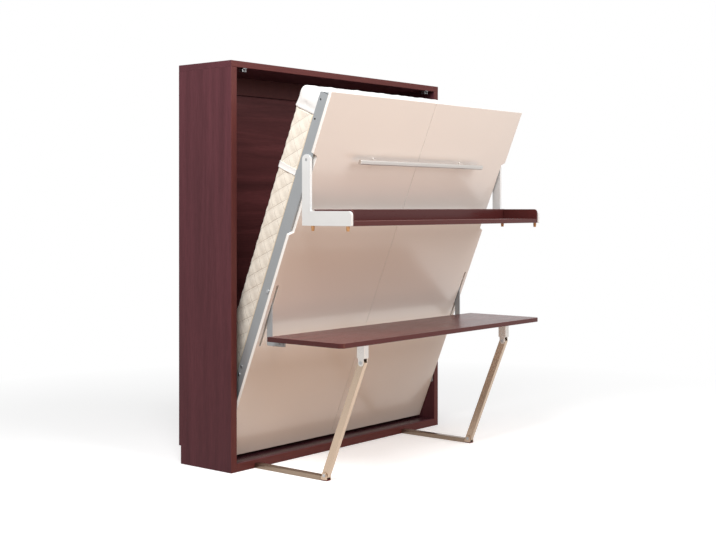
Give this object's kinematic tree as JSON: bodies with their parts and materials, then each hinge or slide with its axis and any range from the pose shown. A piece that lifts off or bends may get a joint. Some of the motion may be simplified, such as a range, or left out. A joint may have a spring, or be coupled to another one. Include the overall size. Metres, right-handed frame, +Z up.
{
  "type": "wall bed",
  "caption": "Wall bed that folds down from an open cabinet, with a desk on hinged legs and a shelf above it that both stay level as the bed swings.",
  "frame": {"origin": "on the floor, at the middle of the whole object's footprint", "axes": "+X to the right of a viewer who faces the bed, +Y to the wall, +Z up"},
  "size_m": [1.88, 1.1992, 2.2],
  "materials": {
    "cabinet_wood": "satin red-brown wood finish",
    "board_wood": "glossy red-brown wood finish",
    "panel_lacquer": "warm white high-gloss lacquer",
    "frame_steel": "silver grey powder coat",
    "bright_steel": "brushed",
    "fitting_steel": "zinc-plated",
    "leg_metal": "champagne metallic",
    "arm_paint": "white satin paint",
    "mattress_fabric": "cream quilted ticking",
    "cover_fabric": "white cotton",
    "strap_webbing": "white woven webbing",
    "slat_wood": "birch, clear satin",
    "black_plastic": "matt black",
    "stop_rubber": "matt black",
    "foot_rubber": "tan, matt",
    "glide_plastic": "dark red, matt",
    "strut_paint": "black satin",
    "rod_chrome": "polished"
  },
  "bodies": {
    "cabinet": {"side_panel_left": "cabinet_wood", "side_panel_right": "cabinet_wood", "top_panel": "cabinet_wood", "base_board": "cabinet_wood", "front_rail": "cabinet_wood", "rear_rails": "cabinet_wood", "back_panel": "cabinet_wood", "pivot_plate_left": "fitting_steel", "pivot_plate_right": "fitting_steel", "main_pins": "fitting_steel", "catches": "fitting_steel", "stop_brackets": "fitting_steel", "stop_pads": "stop_rubber", "floor_tube_left": "leg_metal", "floor_tube_right": "leg_metal", "foot_forks": "bright_steel", "foot_pins": "fitting_steel", "foot_glides": "glide_plastic"},
    "bed": {"face_panel_left": "panel_lacquer", "face_panel_right": "panel_lacquer", "side_rail_left": "frame_steel", "side_rail_right": "frame_steel", "end_rails": "frame_steel", "cross_tubes": "frame_steel", "centre_beam": "frame_steel", "slats": "slat_wood", "slat_holders": "black_plastic", "mattress": "mattress_fabric", "mattress_cover": "cover_fabric", "mattress_strap": "strap_webbing", "strap_anchors": "fitting_steel", "handle_bar": "bright_steel", "handle_posts": "bright_steel", "desk_pivot_bolts": "fitting_steel", "rail_bolts": "fitting_steel", "strut_studs": "fitting_steel"},
    "desk": {"desk_top": "board_wood", "desk_arm_left": "frame_steel", "desk_arm_right": "frame_steel", "desk_angles": "frame_steel", "leg_socket_left": "bright_steel", "leg_socket_right": "bright_steel", "leg_pins": "fitting_steel", "desk_stretcher": "frame_steel", "desk_crank_pins": "fitting_steel"},
    "shelf": {"shelf_board": "board_wood", "shelf_upstand": "board_wood", "shelf_arm_left": "arm_paint", "shelf_arm_right": "arm_paint", "shelf_feet": "foot_rubber", "shelf_shafts": "fitting_steel", "shelf_crank_pins": "fitting_steel"},
    "leg_left": {"leg_left": "leg_metal"},
    "leg_right": {"leg_right": "leg_metal"},
    "link_left": {"link_left": "frame_steel"},
    "link_right": {"link_right": "frame_steel"},
    "strut_tube_left": {"strut_tube_left": "strut_paint"},
    "strut_tube_right": {"strut_tube_right": "strut_paint"},
    "strut_rod_left": {"strut_rod_left": "rod_chrome"},
    "strut_rod_right": {"strut_rod_right": "rod_chrome"}
  },
  "joints": [
    {"name": "bed_fold", "type": "hinge", "parent": "cabinet", "child": "bed", "pos_m": [0, 0.22562, 0.3725], "axis": [1, 0, 0], "range_deg": [-22, 68]},
    {"name": "desk_level", "type": "hinge", "parent": "bed", "child": "desk", "pos_m": [0, -0.01787, 0.97517], "axis": [1, 0, 0], "range_deg": [-68, 22]},
    {"name": "shelf_level", "type": "hinge", "parent": "bed", "child": "shelf", "pos_m": [0, -0.30062, 1.65899], "axis": [1, 0, 0], "range_deg": [-68, 22]},
    {"name": "leg_left_foot", "type": "hinge", "parent": "cabinet", "child": "leg_left", "pos_m": [-0.74, -0.30538, 0.028], "axis": [1, 0, 0], "range_deg": [-22, 68]},
    {"name": "link_left_crank", "type": "hinge", "parent": "desk", "child": "link_left", "pos_m": [-0.8545, 0.00476, 0.9978], "axis": [1, 0, 0], "range_deg": [-22, 68]},
    {"name": "strut_left_tube_end", "type": "hinge", "parent": "cabinet", "child": "strut_tube_left", "pos_m": [-0.8835, 0.28774, 0.60432], "axis": [1, 0, 0], "range_deg": [-11, 34]},
    {"name": "strut_left_rod_end", "type": "hinge", "parent": "bed", "child": "strut_rod_left", "pos_m": [-0.8835, 0.31553, 0.14998], "axis": [1, 0, 0], "range_deg": [-34, 11]},
    {"name": "leg_right_foot", "type": "hinge", "parent": "cabinet", "child": "leg_right", "pos_m": [0.573, -0.30538, 0.028], "axis": [1, 0, 0], "range_deg": [-22, 68]},
    {"name": "link_right_crank", "type": "hinge", "parent": "desk", "child": "link_right", "pos_m": [0.8545, 0.00476, 0.9978], "axis": [1, 0, 0], "range_deg": [-22, 68]},
    {"name": "strut_right_tube_end", "type": "hinge", "parent": "cabinet", "child": "strut_tube_right", "pos_m": [0.8835, 0.28774, 0.60432], "axis": [1, 0, 0], "range_deg": [-11, 34]},
    {"name": "strut_right_rod_end", "type": "hinge", "parent": "bed", "child": "strut_rod_right", "pos_m": [0.8835, 0.31553, 0.14998], "axis": [1, 0, 0], "range_deg": [-34, 11]}
  ],
  "couplings": [
    {"joint": "desk_level", "follows": "bed_fold", "ratio": -1},
    {"joint": "shelf_level", "follows": "bed_fold", "ratio": -1},
    {"joint": "leg_left_foot", "follows": "bed_fold", "ratio": 1},
    {"joint": "link_left_crank", "follows": "bed_fold", "ratio": 1},
    {"joint": "strut_left_tube_end", "follows": "bed_fold", "ratio": 0.5},
    {"joint": "strut_left_rod_end", "follows": "bed_fold", "ratio": -0.5},
    {"joint": "leg_right_foot", "follows": "bed_fold", "ratio": 1},
    {"joint": "link_right_crank", "follows": "bed_fold", "ratio": 1},
    {"joint": "strut_right_tube_end", "follows": "bed_fold", "ratio": 0.5},
    {"joint": "strut_right_rod_end", "follows": "bed_fold", "ratio": -0.5}
  ]
}
